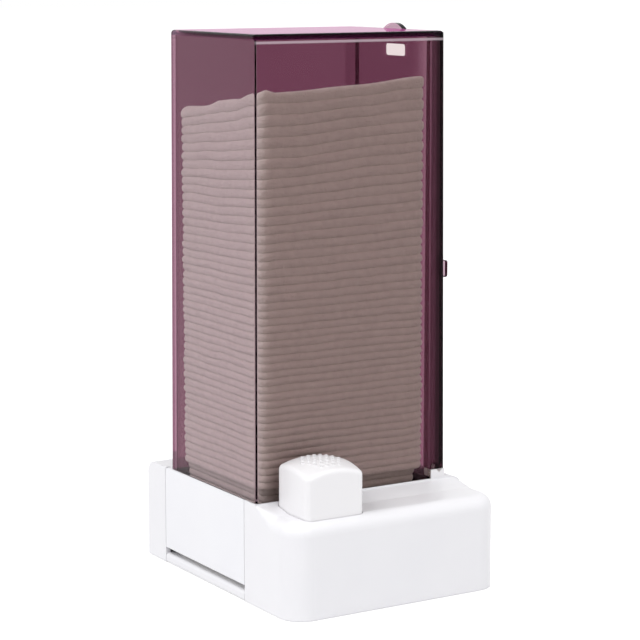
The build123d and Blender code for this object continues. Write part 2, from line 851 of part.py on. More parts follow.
def button_hollow():
    wall = button_wall
    hollow = rounded_block(button_left + wall, button_right - wall, button_front + wall,
                           button_back - wall, button_low, button_top - wall, button_corner - wall)
    return hollow & crown_dome(button_crown_wall)


def crown_dots():
    """Raised grip dots in staggered rows within a round field on the crown."""
    radius = crown_radius()
    row_pitch = dot_pitch * sqrt(3) / 2
    reach = ceil(dot_field / row_pitch)
    dots = None
    for row in range(-reach, reach + 1):
        for column in range(-reach, reach + 1):
            x = row * row_pitch
            y = (column + row % 2 / 2) * dot_pitch
            if x ** 2 + y ** 2 > dot_field ** 2:
                continue
            offset = (x + crown_shift) ** 2 + y ** 2
            surface = button_top - radius + sqrt(radius ** 2 - offset)
            dot = upright(button_x + x, button_y + y, surface - lap, surface + dot_proud, dot_radius)
            dots = dot if dots is None else dots + dot
    return dots


def return_spring():
    z0 = plate_top + spring_wire / 2 + spring_gap
    z1 = foot_low - spring_wire / 2 - spring_gap
    pitch = (z1 - z0) / spring_turns
    path = Helix(pitch=pitch, height=z1 - z0, radius=spring_radius)
    section = Plane(origin=path @ 0, z_dir=path % 0) * Circle(spring_wire / 2)
    coil = Pos(button_x, button_y, z0) * sweep(section, path=path, is_frenet=True)
    print("return spring: gap between turns", round(pitch - spring_wire, 2), "mm, volume",
          round(coil.volume, 1), "of", round(pi * spring_wire ** 2 / 4 * path.length, 1), "mm3")
    return coil


def pusher_rack():
    """Toothed bar under the ledge and its post down to the blade."""
    front = gear_y - rack_teeth_ahead * tooth_pitch
    back = pusher_back()
    bar_top = ledge_under - running_gap
    root = gear_rack_z + tooth_dedendum
    last_tooth = gear_y + pusher_travel + rack_teeth_behind * tooth_pitch
    bar_back = max(back, last_tooth)
    teeth = [(gear_y + y, z) for y, z in rack_points(front - gear_y, last_tooth - gear_y, root, -1)]
    outline = [(bar_back, root), (bar_back, bar_top), (front, bar_top), (front, root)] + teeth
    post_front_y = back - pusher_post_depth
    rack = side_prism(outline, gear_x0, gear_x1)
    rack += block(pusher_x0, gear_x0, front, back, root, bar_top)
    rack += block(pusher_x0, pusher_x1, post_front_y, back, blade_top, root + lap)
    foot_x0 = pusher_x0 - pusher_foot_width
    rack += block(foot_x0, pusher_x1, post_front_y, back, blade_top, blade_top + pusher_foot_wall)
    for x, y in pusher_screw_places():
        rack -= upright(x, y, 0, blade_top + pusher_foot_wall, small_screw_radius)
    return rack


def pusher_back():
    return blade_front + arm_depth + lap


def pusher_screw_places():
    return [(pusher_x0 - small_head_radius, pusher_back() - pusher_post_depth / 2)]


def pusher_screws():
    screws = []
    for x, y in pusher_screw_places():
        seat = blade_top + pusher_foot_wall
        screw = upright(x, y, seat, seat + small_head_height, small_head_radius)
        screws.append(screw + upright(x, y, blade_low + screw_end_gap, seat, small_screw_radius))
    return Compound(children=screws)


def pusher_blade():
    x0 = bottom_pad_x - pad_width / 2 - running_gap
    x1 = bottom_pad_x + pad_width / 2
    blade = block(x0, x1, blade_front, blade_front + blade_depth, blade_low, blade_top)
    back = pusher_back()
    blade += block(x1, pusher_x1, back - arm_depth, back, blade_low, blade_top)
    for x, y in pusher_screw_places():
        blade -= upright(x, y, 0, blade_top, small_screw_radius)
    return blade


def pusher_guide_rail():
    x0 = pusher_x1 + running_gap
    return block(x0, x0 + rail_width, gear_y - 2 * cheek_half, blade_front + arm_depth, plate_top,
                 plate_top + rail_height)


def bottom_pad():
    return Pos(bottom_pad_x, bottom_pad_y, bottom_pad_z) * pad(bottom_pad_thickness)


def pad(thickness):
    return extrude(RectangleRounded(pad_width, pad_length, pad_corner), amount=thickness)


def pad_place(z):
    """Middle, backward tilt and sideways tilt of the pad at this height."""
    low_x = cover_middle_x + pad_shift_x
    low_y = cover_middle_y + pad_shift_y
    if z < seat_height:
        share = min(1, (z - bottom_pad_z) / (chute_top - bottom_pad_z))
        x = bottom_pad_x + (low_x - bottom_pad_x) * share
        y = bottom_pad_y + (low_y - bottom_pad_y) * share
        return x, y, back_tilt_low * share, 0
    loose = max(0, (z - seat_height - pad_loose_from) / (pad_stack_top - pad_loose_from))
    x = low_x + pad_top_shift * loose
    return x, low_y, back_tilt_low + (back_tilt_top - back_tilt_low) * loose, side_tilt_top * loose ** 2


def cotton_pads():
    pads = []
    z = bottom_pad_z + bottom_pad_thickness + pad_gap
    while z < seat_height + pad_stack_top:
        loose = max(0, (z - seat_height - pad_loose_from) / (pad_stack_top - pad_loose_from))
        pitch = pad_pitch + (pad_pitch_top - pad_pitch) * loose
        x, y, back_tilt, side_tilt = pad_place(z)
        pads.append(Pos(x, y, z) * Rot(back_tilt, -side_tilt, 0) * pad(pitch - pad_gap))
        z += pitch
    print("cotton pads in the stack:", len(pads))
    return Compound(children=pads)


pieces = {
    "base_shell": base_shell,
    "outlet_panel": outlet_panel,
    "bottom_plate": bottom_plate,
    "rubber_feet": rubber_feet,
    "bottom_screws": bottom_screws,
    "cover": cover,
    "hinge_lugs": hinge_lugs,
    "refill_door": refill_door,
    "door_pins": door_pins,
    "magazine_chute": magazine_chute,
    "chute_screws": lambda: small_screws(chute_screw_places(), plate_top + chute_tab_wall),
    "gear_bracket": gear_bracket,
    "bracket_screws": lambda: small_screws(bracket_screw_places(), plate_top + bracket_foot),
    "pinion_gear": pinion_gear,
    "spur_gear": spur_gear,
    "gear_shaft": gear_shaft,
    "push_button": push_button,
    "button_rack": button_rack,
    "button_screws": button_screws,
    "return_spring": return_spring,
    "pusher_rack": pusher_rack,
    "pusher_blade": pusher_blade,
    "pusher_screws": pusher_screws,
    "pusher_guide_rail": pusher_guide_rail,
    "bottom_pad": bottom_pad,
    "cotton_pads": cotton_pads,
}

for piece_name, make_piece in pieces.items():
    save(make_piece(), piece_name)
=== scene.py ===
import math
import random

import bpy
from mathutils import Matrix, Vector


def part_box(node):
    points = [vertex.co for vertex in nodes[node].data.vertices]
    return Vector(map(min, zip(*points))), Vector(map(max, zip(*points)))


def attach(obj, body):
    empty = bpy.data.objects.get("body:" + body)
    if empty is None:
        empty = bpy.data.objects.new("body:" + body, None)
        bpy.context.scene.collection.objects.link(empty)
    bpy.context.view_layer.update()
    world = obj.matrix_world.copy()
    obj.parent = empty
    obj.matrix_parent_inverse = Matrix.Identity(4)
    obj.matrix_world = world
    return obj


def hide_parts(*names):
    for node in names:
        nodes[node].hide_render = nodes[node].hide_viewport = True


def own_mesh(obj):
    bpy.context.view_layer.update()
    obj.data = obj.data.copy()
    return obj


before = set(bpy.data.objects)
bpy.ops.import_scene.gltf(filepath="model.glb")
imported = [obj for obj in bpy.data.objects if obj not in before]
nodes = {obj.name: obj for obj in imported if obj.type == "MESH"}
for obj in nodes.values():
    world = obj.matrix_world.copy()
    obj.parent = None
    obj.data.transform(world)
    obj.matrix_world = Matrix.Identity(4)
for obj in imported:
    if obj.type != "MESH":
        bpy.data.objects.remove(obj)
bpy.context.view_layer.update()
mm = 0.001
sameSpot = 1e-6
faceUp = 0.9
random.seed(7)
print("frame loaded:", len(nodes), "nodes")


def deselectAll():
    if bpy.context.object and bpy.context.object.mode != "OBJECT":
        bpy.ops.object.mode_set(mode="OBJECT")
    bpy.ops.object.select_all(action="DESELECT")


def makeActive(piece):
    deselectAll()
    piece.select_set(True)
    bpy.context.view_layer.objects.active = piece


def addBox(name, low, high):
    # a box between two corners given in millimetres, with its place in its mesh
    deselectAll()
    middle = [(a + b) / 2 * mm for a, b in zip(low, high)]
    size = [(b - a) * mm for a, b in zip(low, high)]
    bpy.ops.mesh.primitive_cube_add(size=1.0, location=middle)
    piece = bpy.context.object
    piece.scale = size
    piece.name = name
    bpy.ops.object.transform_apply(location=True, rotation=True, scale=True)
    return piece


def startPick(piece, modes):
    # nothing selected, and the kind of element that edit mode is to keep
    makeActive(piece)
    bpy.context.scene.tool_settings.mesh_select_mode = modes
    for elements in (piece.data.vertices, piece.data.edges, piece.data.polygons):
        for element in elements:
            element.select = False


def pickEdges(piece, test):
    # selects the edges whose two ends pass the test, in edit mode
    startPick(piece, (False, True, False))
    for edge in piece.data.edges:
        ends = [piece.data.vertices[index].co for index in edge.vertices]
        edge.select = test(ends[0], ends[1])
    bpy.ops.object.mode_set(mode="EDIT")


def pickFaces(piece, test):
    startPick(piece, (False, False, True))
    for face in piece.data.polygons:
        face.select = test(face)
    bpy.ops.object.mode_set(mode="EDIT")


def leaveEdit():
    bpy.ops.object.mode_set(mode="OBJECT")


def cutRows(piece, axis, places):
    # rows of edges square to an axis, so that the mesh can bend there
    makeActive(piece)
    bpy.ops.object.mode_set(mode="EDIT")
    normal = [0, 0, 0]
    normal[axis] = 1
    for place in places:
        point = [0, 0, 0]
        point[axis] = place * mm
        bpy.ops.mesh.select_all(action="SELECT")
        bpy.ops.mesh.bisect(plane_co=point, plane_no=normal)
    leaveEdit()


def spread(low, high, count):
    # places that divide a length in equal parts, without its two ends
    return [low + (high - low) * (i + 1) / (count + 1) for i in range(count)]


def applyModifiers(piece):
    makeActive(piece)
    for modifier in list(piece.modifiers):
        bpy.ops.object.modifier_apply(modifier=modifier.name)


def setMaterial(piece, material):
    piece.data.materials.clear()
    piece.data.materials.append(material)


# camera and light
cameraValues = {
    "place": (0.6043, -0.3699, 0.2032),
    "azimuth": 58.519,
    "pitchDown": 9.432,
    "lens": 122.0,
    "sensor": 36.0,
    "clip": (0.01, 100.0),
}
lightValues = {
    "sky": 0.8,
    "keyPlace": (0.12, -0.82, 1.12),
    "keySize": 0.9,
    "keyPower": 7.2,
    "fillPlace": (0.9, 0.2, 1.1),
    "fillSize": 0.8,
    "fillPower": 3.4,
    "lampAim": (0, 0, 0.08),
    "floorSize": 16.0,
    "floorColour": (0.72, 0.72, 0.725),
    "floorLift": 0.55,  # white that only the camera, gloss and glass see
}


def makeCamera(values):
    turn = (math.radians(90 - values["pitchDown"]), 0, math.radians(values["azimuth"]))
    bpy.ops.object.camera_add(location=values["place"], rotation=turn)
    camera = bpy.context.object
    camera.name = "photoCamera"
    camera.data.lens = values["lens"]
    camera.data.sensor_width = values["sensor"]
    camera.data.clip_start = values["clip"][0]
    camera.data.clip_end = values["clip"][1]
    bpy.context.scene.camera = camera


def makeLamp(values, part):
    # the key or the fill, aimed at the object
    place = values[part + "Place"]
    bpy.ops.object.light_add(type="AREA", location=place)
    lamp = bpy.context.object
    lamp.name = part + "Lamp"
    lamp.data.shape = "DISK"
    lamp.data.size = values[part + "Size"]
    lamp.data.energy = values[part + "Power"]
    aim = [t - p for t, p in zip(values["lampAim"], place)]
    flat = math.hypot(aim[0], aim[1])
    lamp.rotation_euler = (math.atan2(flat, -aim[2]), 0, math.atan2(aim[1], aim[0]) - math.pi / 2)


def cameraSees(tree):
    # 1 for rays that show a surface to the camera: straight, mirrored or through glass
    path = tree.nodes.new("ShaderNodeLightPath")
    gloss = tree.nodes.new("ShaderNodeMath")
    glass = tree.nodes.new("ShaderNodeMath")
    gloss.operation = "MAXIMUM"
    glass.operation = "MAXIMUM"
    tree.links.new(path.outputs["Is Camera Ray"], gloss.inputs[0])
    tree.links.new(path.outputs["Is Glossy Ray"], gloss.inputs[1])
    tree.links.new(gloss.outputs[0], glass.inputs[0])
    tree.links.new(path.outputs["Is Transmission Ray"], glass.inputs[1])
    return glass.outputs[0]


def makeWorld(values):
    world = bpy.data.worlds.new("studioWorld")
    bpy.context.scene.world = world
    world.use_nodes = True
    tree = world.node_tree
    background = tree.nodes["Background"]
    background.inputs["Color"].default_value = (1.0, 1.0, 1.0, 1)
    level = tree.nodes.new("ShaderNodeMapRange")
    level.inputs["To Min"].default_value = values["sky"]
    level.inputs["To Max"].default_value = 1.0
    tree.links.new(cameraSees(tree), level.inputs["Value"])
    tree.links.new(level.outputs["Result"], background.inputs["Strength"])


def makeFloor(values):
    deselectAll()
    bpy.ops.mesh.primitive_plane_add(size=values["floorSize"], location=(0, 0, 0))
    floor = bpy.context.object
    floor.name = "studioFloor"
    material = bpy.data.materials.new("Pale floor")
    material.use_nodes = True
    tree = material.node_tree
    tree.nodes.clear()
    output = tree.nodes.new("ShaderNodeOutputMaterial")
    matt = tree.nodes.new("ShaderNodeBsdfDiffuse")
    lift = tree.nodes.new("ShaderNodeEmission")
    both = tree.nodes.new("ShaderNodeAddShader")
    strength = tree.nodes.new("ShaderNodeMath")
    strength.operation = "MULTIPLY"
    strength.inputs[1].default_value = values["floorLift"]
    matt.inputs["Color"].default_value = (*values["floorColour"], 1)
    tree.links.new(cameraSees(tree), strength.inputs[0])
    tree.links.new(strength.outputs[0], lift.inputs["Strength"])
    tree.links.new(matt.outputs[0], both.inputs[0])
    tree.links.new(lift.outputs[0], both.inputs[1])
    tree.links.new(both.outputs[0], output.inputs["Surface"])
    setMaterial(floor, material)


makeCamera(cameraValues)
makeWorld(lightValues)
makeLamp(lightValues, "key")
makeLamp(lightValues, "fill")
makeFloor(lightValues)
bpy.context.scene.view_settings.view_transform = "Standard"
print("camera, lamps and floor made")


# effects that several materials share
mouldedValues = {
    "fineDetail": 2.0,
    "flowDetail": 3.0,
}
fibreValues = {
    "detail": 4.0,
    "squeeze": 0.22,  # scale along a fibre, so that it is drawn out
}


def startGroup(name, inputs, outputs):
    group = bpy.data.node_groups.new(name, "ShaderNodeTree")
    for label, value in inputs:
        socket = group.interface.new_socket(name=label, in_out="INPUT", socket_type="NodeSocketFloat")
        socket.default_value = value
    for label in outputs:
        group.interface.new_socket(name=label, in_out="OUTPUT", socket_type="NodeSocketFloat")
    return group, group.nodes.new("NodeGroupInput"), group.nodes.new("NodeGroupOutput")


def noiseNode(tree, vector, scale, detail, stretch=None):
    # noise on Object coordinates, stretched along an axis where asked
    texture = tree.nodes.new("ShaderNodeTexNoise")
    texture.inputs["Detail"].default_value = detail
    if isinstance(scale, float):
        texture.inputs["Scale"].default_value = scale
    else:
        tree.links.new(scale, texture.inputs["Scale"])
    if stretch:
        mapping = tree.nodes.new("ShaderNodeMapping")
        mapping.inputs["Scale"].default_value = stretch
        tree.links.new(vector, mapping.inputs["Vector"])
        vector = mapping.outputs["Vector"]
    tree.links.new(vector, texture.inputs["Vector"])
    return texture.outputs["Fac"]


def makeMouldedGroup(values):
    # fine texture left by the mould, and slow flow marks
    group, start, end = startGroup(
        "Moulded surface", [("Fine scale", 2600.0), ("Flow scale", 45.0)], ["Height", "Flow"]
    )
    coords = group.nodes.new("ShaderNodeTexCoord").outputs["Object"]
    fine = noiseNode(group, coords, start.outputs["Fine scale"], values["fineDetail"])
    flow = noiseNode(group, coords, start.outputs["Flow scale"], values["flowDetail"])
    group.links.new(fine, end.inputs["Height"])
    group.links.new(flow, end.inputs["Flow"])
    return group


def makeFibreGroup(values):
    # cotton: short fibres over soft tufts
    group, start, end = startGroup(
        "Cotton fibres", [("Fibre scale", 2200.0), ("Tuft scale", 320.0)], ["Height", "Tufts"]
    )
    coords = group.nodes.new("ShaderNodeTexCoord").outputs["Object"]
    detail = values["detail"]
    along = noiseNode(group, coords, start.outputs["Fibre scale"], detail, (1.0, values["squeeze"], 1.0))
    across = noiseNode(group, coords, start.outputs["Fibre scale"], detail, (values["squeeze"], 1.0, 1.0))
    tufts = noiseNode(group, coords, start.outputs["Tuft scale"], detail)
    most = group.nodes.new("ShaderNodeMath")
    most.operation = "MAXIMUM"
    total = group.nodes.new("ShaderNodeMath")
    total.operation = "ADD"
    group.links.new(along, most.inputs[0])
    group.links.new(across, most.inputs[1])
    group.links.new(most.outputs[0], total.inputs[0])
    group.links.new(tufts, total.inputs[1])
    group.links.new(total.outputs[0], end.inputs["Height"])
    group.links.new(tufts, end.inputs["Tufts"])
    return group


mouldedGroup = makeMouldedGroup(mouldedValues)
fibreGroup = makeFibreGroup(fibreValues)


def startMaterial(name):
    material = bpy.data.materials.new(name)
    material.use_nodes = True
    tree = material.node_tree
    return material, tree, tree.nodes["Principled BSDF"]


def useGroup(tree, group, values):
    node = tree.nodes.new("ShaderNodeGroup")
    node.node_tree = group
    for label, value in values.items():
        node.inputs[label].default_value = value
    return node


def mapValue(tree, source, low, high, fromLow=0.3, fromHigh=0.7):
    # a value from one range to another; noise lies mostly between 0.3 and 0.7
    node = tree.nodes.new("ShaderNodeMapRange")
    node.inputs["From Min"].default_value = fromLow
    node.inputs["From Max"].default_value = fromHigh
    node.inputs["To Min"].default_value = low
    node.inputs["To Max"].default_value = high
    tree.links.new(source, node.inputs["Value"])
    return node.outputs["Result"]


def mixColours(tree, factor, first, second):
    node = tree.nodes.new("ShaderNodeMix")
    node.data_type = "RGBA"
    node.inputs["A"].default_value = (*first, 1)
    node.inputs["B"].default_value = (*second, 1)
    tree.links.new(factor, node.inputs["Factor"])
    return node.outputs["Result"]


def addBump(tree, shader, height, strength, distance, softEdge=0.0):
    bump = tree.nodes.new("ShaderNodeBump")
    bump.inputs["Strength"].default_value = strength
    bump.inputs["Distance"].default_value = distance
    tree.links.new(height, bump.inputs["Height"])
    if softEdge:
        edge = tree.nodes.new("ShaderNodeBevel")
        edge.samples = 4
        edge.inputs["Radius"].default_value = softEdge
        tree.links.new(edge.outputs["Normal"], bump.inputs["Normal"])
    tree.links.new(bump.outputs["Normal"], shader.inputs["Normal"])


def makePlastic(name, values):
    # each material's own values over those that all plastics share
    values = {**plasticValues, **values}
    material, tree, shader = startMaterial(name)
    scales = {"Fine scale": values["fineScale"], "Flow scale": values["flowScale"]}
    surface = useGroup(tree, mouldedGroup, scales)
    tone = mapValue(tree, surface.outputs["Flow"], 0.0, 1.0)
    colour = mixColours(tree, tone, values["colour"], values["second"])
    tree.links.new(colour, shader.inputs["Base Color"])
    smoothest = values["roughness"] - values["smoother"]
    roughest = values["roughness"] + values["rougher"]
    rough = mapValue(tree, surface.outputs["Flow"], smoothest, roughest)
    tree.links.new(rough, shader.inputs["Roughness"])
    shader.inputs["IOR"].default_value = values["ior"]
    addBump(tree, shader, surface.outputs["Height"], values["bump"], values["bumpDepth"], values["softEdge"])
    return material


def makeSteel(name, values):
    # drawn lines over slow patches
    material, tree, shader = startMaterial(name)
    shader.inputs["Metallic"].default_value = 1.0
    coords = tree.nodes.new("ShaderNodeTexCoord").outputs["Object"]
    lines = noiseNode(tree, coords, values["lineScale"], values["detail"], values["lineStretch"])
    patches = noiseNode(tree, coords, values["patchScale"], values["detail"])
    tone = mapValue(tree, patches, 0.0, 1.0)
    colour = mixColours(tree, tone, values["colour"], values["second"])
    tree.links.new(colour, shader.inputs["Base Color"])
    tree.links.new(mapValue(tree, lines, *values["roughness"]), shader.inputs["Roughness"])
    addBump(tree, shader, lines, values["bump"], values["bumpDepth"])
    return material


def faceShare(colour):
    # the share of a wall's tint that each of its two faces takes
    return [math.sqrt(c) for c in colour]


def mixShaders(tree, factor, first, second):
    mix = tree.nodes.new("ShaderNodeMixShader")
    tree.links.new(factor, mix.inputs[0])
    tree.links.new(first.outputs[0], mix.inputs[1])
    tree.links.new(second.outputs[0], mix.inputs[2])
    return mix


def facesAlong(tree, axis, most=1.0, lean=(0.5, 0.9)):
    # the given share on faces that look along an axis, 0 on the others
    normal = tree.nodes.new("ShaderNodeNewGeometry").outputs["Normal"]
    parts = tree.nodes.new("ShaderNodeSeparateXYZ")
    size = tree.nodes.new("ShaderNodeMath")
    size.operation = "ABSOLUTE"
    tree.links.new(normal, parts.inputs[0])
    tree.links.new(parts.outputs[axis], size.inputs[0])
    return mapValue(tree, size.outputs[0], 0.0, most, *lean)


def beyondPlace(tree, axis, start, end):
    # 0 before a place on an Object axis and 1 after it, places in millimetres
    coords = tree.nodes.new("ShaderNodeTexCoord").outputs["Object"]
    parts = tree.nodes.new("ShaderNodeSeparateXYZ")
    tree.links.new(coords, parts.inputs[0])
    return mapValue(tree, parts.outputs[axis], 0.0, 1.0, start * mm, end * mm)


def multiplyColours(tree, first, second):
    node = tree.nodes.new("ShaderNodeMix")
    node.data_type = "RGBA"
    node.blend_type = "MULTIPLY"
    node.inputs["Factor"].default_value = 1.0
    tree.links.new(first, node.inputs["A"])
    tree.links.new(second, node.inputs["B"])
    return node.outputs["Result"]


def multiplyValues(tree, first, second):
    node = tree.nodes.new("ShaderNodeMath")
    node.operation = "MULTIPLY"
    tree.links.new(first, node.inputs[0])
    tree.links.new(second, node.inputs[1])
    return node.outputs[0]


def clearOf(tree, colour):
    clear = tree.nodes.new("ShaderNodeBsdfTransparent")
    tree.links.new(colour, clear.inputs["Color"])
    return clear


def mattOf(tree, colour):
    matt = tree.nodes.new("ShaderNodeBsdfDiffuse")
    matt.inputs["Color"].default_value = (*colour, 1)
    return matt


def tintWithPaintedShade(tree, values):
    # the near walls' tint, painted deeper by place, to fit the photo: in a band along the side walls'
    # top edge, at the back posts and on the left wall's outer side
    # the deeper tint is painted shade, for the dark that the rounded top edge, the back posts and the left
    # wall's edge show
    beside = facesAlong(tree, "X", 1.0, values["edgeLean"])
    band = multiplyValues(tree, beyondPlace(tree, "Z", *values["edgePlaces"]), beside)
    shadedTint = [near * edge for near, edge in zip(values["nearTint"], values["edgeShadeTint"])]
    colour = mixColours(tree, band, values["nearTint"], shadedTint)
    for axis, places, tint in values["shadeZones"]:
        zone = mixColours(tree, beyondPlace(tree, axis, *places), (1, 1, 1), tint)
        colour = multiplyColours(tree, colour, zone)
    return colour


def addTopSheen(tree, values, shader):
    # a painted sheen: a diffuse share that stands for the pink sheen where the top is seen along its face
    slant = tree.nodes.new("ShaderNodeLayerWeight")
    along = mapValue(tree, slant.outputs["Facing"], 0.0, 1.0, *values["topSlant"])
    upward = facesAlong(tree, "Z", values["topShare"], values["topLean"])
    share = multiplyValues(tree, along, upward)
    return mixShaders(tree, share, shader, mattOf(tree, values["topSheenColour"]))


def addRimHighlight(tree, values, shader):
    # a painted highlight: a line that stands for the light one that the inner rounding shows under the top
    # edge
    below = mapValue(tree, beyondPlace(tree, "Z", *values["rimEnd"]), 1.0, 0.0)
    line = multiplyValues(tree, beyondPlace(tree, "Z", *values["rimStart"]), below)
    share = multiplyValues(tree, line, facesAlong(tree, "X", values["rimShare"]))
    return mixShaders(tree, share, shader, mattOf(tree, values["rimHighlightColour"]))


def makeTinted(name, values):
    # clear plastic with three tints fitted to the photo: on the near walls, on the far walls, and for lamps
    values = {**clearValues, **values}
    material, tree, shader = startMaterial(name)
    shader.inputs["Base Color"].default_value = (*values["nearTint"], 1)
    shader.inputs["Transmission Weight"].default_value = 1.0
    shader.inputs["IOR"].default_value = values["ior"]
    shader.inputs["Specular Tint"].default_value = (*values["gloss"], 1)
    surface = useGroup(tree, mouldedGroup, {"Flow scale": values["flowScale"]})
    roughest = values["roughness"] + values["rougher"]
    rough = mapValue(tree, surface.outputs["Flow"], values["roughness"], roughest)
    tree.links.new(rough, shader.inputs["Roughness"])
    addBump(tree, shader, surface.outputs["Flow"], values["bump"], values["bumpDepth"])
    near = shader
    # the near walls get painted shade along the edges, a painted sheen on the top and a painted highlight
    # under the top edge
    if values["paintsEdgeLight"]:
        tree.links.new(tintWithPaintedShade(tree, values), shader.inputs["Base Color"])
        near = addRimHighlight(tree, values, addTopSheen(tree, values, shader))
    path = tree.nodes.new("ShaderNodeLightPath")
    far = tree.nodes.new("ShaderNodeMath")
    far.operation = "GREATER_THAN"
    far.inputs[1].default_value = values["farDepth"]
    tree.links.new(path.outputs["Transmission Depth"], far.inputs[0])
    farPlace = beyondPlace(tree, "X", *values["farEnd"])
    farColour = mixColours(tree, farPlace, faceShare(values["farTint"]), faceShare(values["farEndTint"]))
    shown = mixShaders(tree, far.outputs[0], near, clearOf(tree, farColour))
    sideways = facesAlong(tree, "X")
    lampColour = mixColours(tree, sideways, faceShare(values["lampTint"]), faceShare(values["sideLampTint"]))
    lamps = clearOf(tree, lampColour)
    lit = mixShaders(tree, path.outputs["Is Diffuse Ray"], shown, lamps)
    whole = mixShaders(tree, path.outputs["Is Shadow Ray"], lit, lamps)
    inside = tree.nodes.new("ShaderNodeVolumeAbsorption")
    inside.inputs["Color"].default_value = (*values["insideTint"], 1)
    inside.inputs["Density"].default_value = values["density"]
    output = tree.nodes["Material Output"]
    tree.links.new(whole.outputs[0], output.inputs["Surface"])
    tree.links.new(inside.outputs[0], output.inputs["Volume"])
    return material


def makeCotton(name, values):
    material, tree, shader = startMaterial(name)
    scales = {"Fibre scale": values["fibreScale"], "Tuft scale": values["tuftScale"]}
    cotton = useGroup(tree, fibreGroup, scales)
    tone = mapValue(tree, cotton.outputs["Tufts"], 0.0, 1.0)
    colour = mixColours(tree, tone, values["colour"], values["second"])
    tree.links.new(colour, shader.inputs["Base Color"])
    rough = mapValue(tree, cotton.outputs["Height"], *values["roughness"], *values["heights"])
    tree.links.new(rough, shader.inputs["Roughness"])
    shader.inputs["Sheen Weight"].default_value = values["sheen"]
    shader.inputs["Sheen Roughness"].default_value = values["sheenRoughness"]
    addBump(tree, shader, cotton.outputs["Height"], values["bump"], values["bumpDepth"])
    return material


# what the plastics share
plasticValues = {
    "ior": 1.5,
    "smoother": 0.03,
    "rougher": 0.04,
    "bumpDepth": 0.0001,
    "softEdge": 0.0,
}
# what the cover and the door share; places in millimetres, tints for a whole wall
clearValues = {
    "ior": 1.22,
    "gloss": (0.4, 0.3, 0.36),
    "rougher": 0.03,
    "flowScale": 26.0,
    "bump": 0.02,
    "bumpDepth": 0.0005,
    "insideTint": (0.6, 0.35, 0.5),
    "density": 260.0,
    "farDepth": 1.5,  # a ray that has passed more surfaces than this meets a far wall
    "farTint": (0.217, 0.088, 0.144),
    "farEnd": (8.0, 18.0),  # from here to the right, far walls take farEndTint
    "lampTint": (0.9, 1.0, 0.93),
    "sideLampTint": (0.565, 0.58, 0.5),
    "paintsEdgeLight": False,
}
materials = {
    "shell": makePlastic("White shell plastic", {
        "colour": (0.86, 0.855, 0.88), "second": (0.84, 0.835, 0.865), "roughness": 0.34,
        "fineScale": 2600.0, "flowScale": 40.0, "bump": 0.12, "softEdge": 0.0004}),
    "panel": makePlastic("Outlet panel plastic", {
        "colour": (0.87, 0.87, 0.9), "second": (0.85, 0.85, 0.885), "roughness": 0.3,
        "fineScale": 3000.0, "flowScale": 35.0, "bump": 0.08, "softEdge": 0.0003}),
    "button": makePlastic("Push button plastic", {
        "colour": (0.88, 0.87, 0.885), "second": (0.865, 0.855, 0.875), "roughness": 0.3,
        "fineScale": 2800.0, "flowScale": 70.0, "bump": 0.1, "softEdge": 0.0002}),
    "lug": makePlastic("Hinge lug plastic", {
        "colour": (0.84, 0.83, 0.85), "second": (0.8, 0.79, 0.81), "roughness": 0.38,
        "fineScale": 2800.0, "flowScale": 160.0, "bump": 0.1, "softEdge": 0.0002}),
    "inner": makePlastic("Natural inner plastic", {
        "colour": (0.7, 0.7, 0.68), "second": (0.66, 0.66, 0.645), "roughness": 0.45,
        "fineScale": 2000.0, "flowScale": 80.0, "bump": 0.15, "softEdge": 0.0002}),
    "gear": makePlastic("Gear plastic", {
        "colour": (0.78, 0.77, 0.72), "second": (0.73, 0.72, 0.67), "roughness": 0.42,
        "fineScale": 2400.0, "flowScale": 120.0, "bump": 0.12, "softEdge": 0.0001}),
    "rubber": makePlastic("Rubber", {
        "colour": (0.035, 0.035, 0.036), "second": (0.05, 0.05, 0.05), "roughness": 0.78,
        "fineScale": 1500.0, "flowScale": 200.0, "bump": 0.35}),
    "steel": makeSteel("Bright steel", {
        "colour": (0.62, 0.62, 0.63), "second": (0.52, 0.52, 0.54), "roughness": (0.2, 0.36),
        "lineScale": 900.0, "lineStretch": (8.0, 0.6, 0.6), "patchScale": 260.0, "detail": 3.0,
        "bump": 0.15, "bumpDepth": 0.00005}),
    "tinted": makeTinted("Tinted cover plastic", {
        "roughness": 0.015, "nearTint": (0.9, 0.89, 0.82), "farEndTint": (0.25, 0.15, 0.18),
        # axis, start, end and tint of the painted shade
        "shadeZones": [("Y", (28.3, 29.3), (0.08, 0.05, 0.06)), ("X", (-28.2, -29.2), (0.3, 0.13, 0.22))],
        "paintsEdgeLight": True,
        # the edge band's tint is painted shade under the side walls' top edge
        "edgeLean": (0.1, 0.25), "edgePlaces": (178.7, 179.1), "edgeShadeTint": (0.2, 0.22, 0.3),
        # the rim line's colour is a painted highlight
        "rimStart": (177.5, 177.8), "rimEnd": (178.3, 178.6), "rimHighlightColour": (0.8, 0.7, 0.76),
        "rimShare": 0.34,
        "topSlant": (0.85, 0.95), "topLean": (0.93, 0.99), "topSheenColour": (0.52, 0.06, 0.34), "topShare": 0.4}),
    "door": makeTinted("Tinted door plastic", {
        "roughness": 0.02, "nearTint": (0.61, 0.47, 0.53), "farEndTint": (0.5, 0.35, 0.42)}),
    "cotton": makeCotton("Cotton", {
        "colour": (0.92, 0.905, 0.87), "second": (0.84, 0.825, 0.79),
        "fibreScale": 1800.0, "tuftScale": 420.0, "roughness": (0.88, 1.0), "heights": (0.6, 1.3),
        "sheen": 0.35, "sheenRoughness": 0.6, "bump": 0.9, "bumpDepth": 0.0006}),
}
